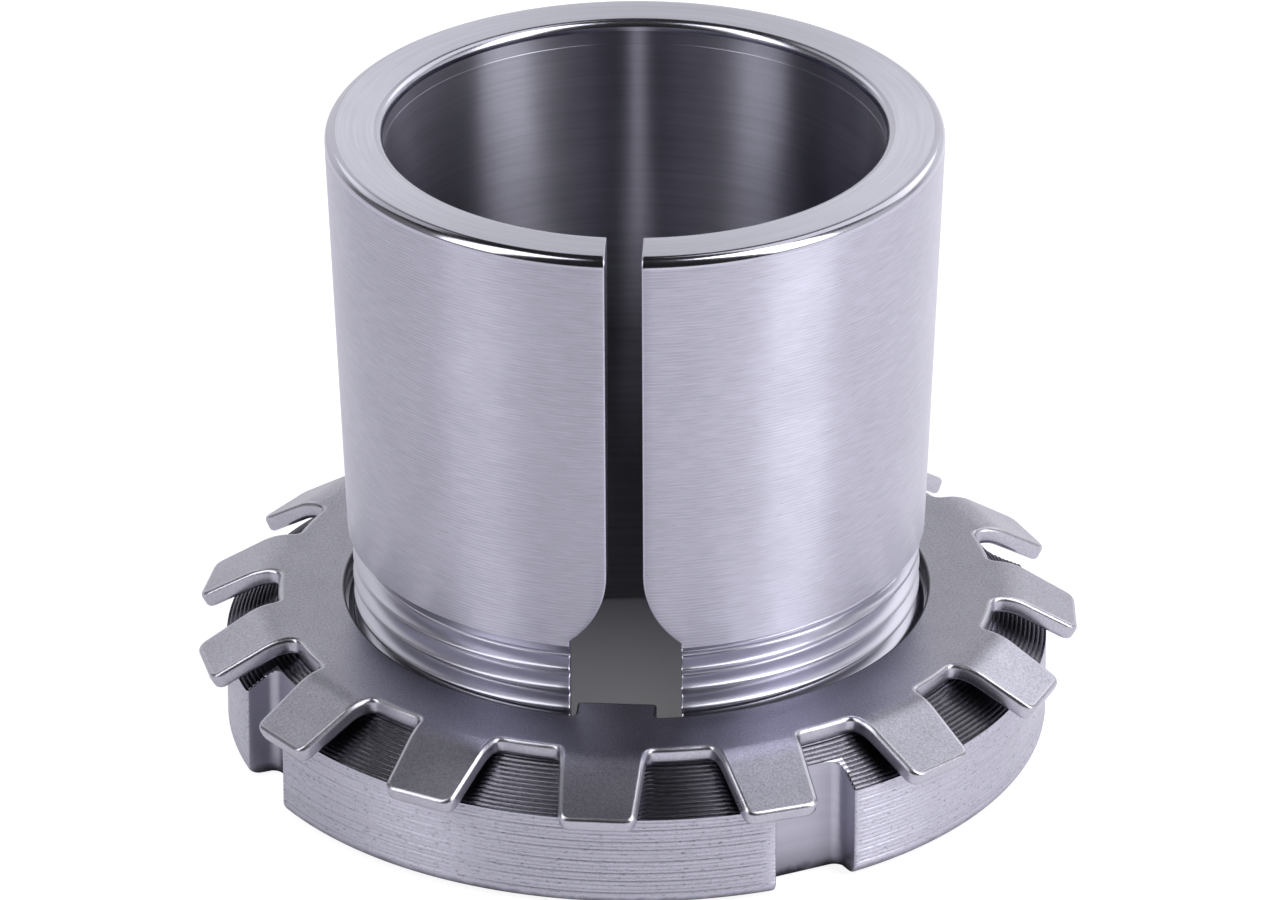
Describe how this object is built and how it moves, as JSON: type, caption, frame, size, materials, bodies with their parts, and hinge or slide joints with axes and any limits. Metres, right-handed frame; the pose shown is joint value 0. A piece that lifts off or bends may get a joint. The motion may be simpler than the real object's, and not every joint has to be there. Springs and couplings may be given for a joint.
{
  "type": "bearing adapter sleeve",
  "caption": "Split taper sleeve with lock washer and slotted lock nut, for fixing a taper-bore bearing on a plain shaft.",
  "frame": {"origin": "centre of the bore at the sleeve's threaded end, where the part stands", "axes": "+Z along the bore, towards the large end of the cone; -Y out through the slit"},
  "size_m": [0.0625, 0.0625, 0.046],
  "materials": {
    "sleeve_steel": "satin, turned and ground, with a polished bore",
    "nut_steel": "turned, with fine grooves on the rim and the chamfer",
    "washer_steel": "stamped and tumbled, satin"
  },
  "bodies": {
    "sleeve": {"adapter_sleeve": "sleeve_steel"},
    "washer": {"lock_washer": "washer_steel"},
    "nut": {"lock_nut": "nut_steel"}
  },
  "joints": [
    {"name": "washer_slide", "type": "slide", "parent": "sleeve", "child": "washer", "axis": [0, 0, 1], "range_m": [-0.0093, 0.0041]},
    {"name": "nut_turn", "type": "hinge", "parent": "washer", "child": "nut", "pos_m": [0, 0, 0], "axis": [0, 0, 1], "range_deg": [-2208, 960]}
  ],
  "couplings": [
    {"joint": "washer_slide", "follows": "nut_turn", "m_per_rad": 0.00023873}
  ]
}
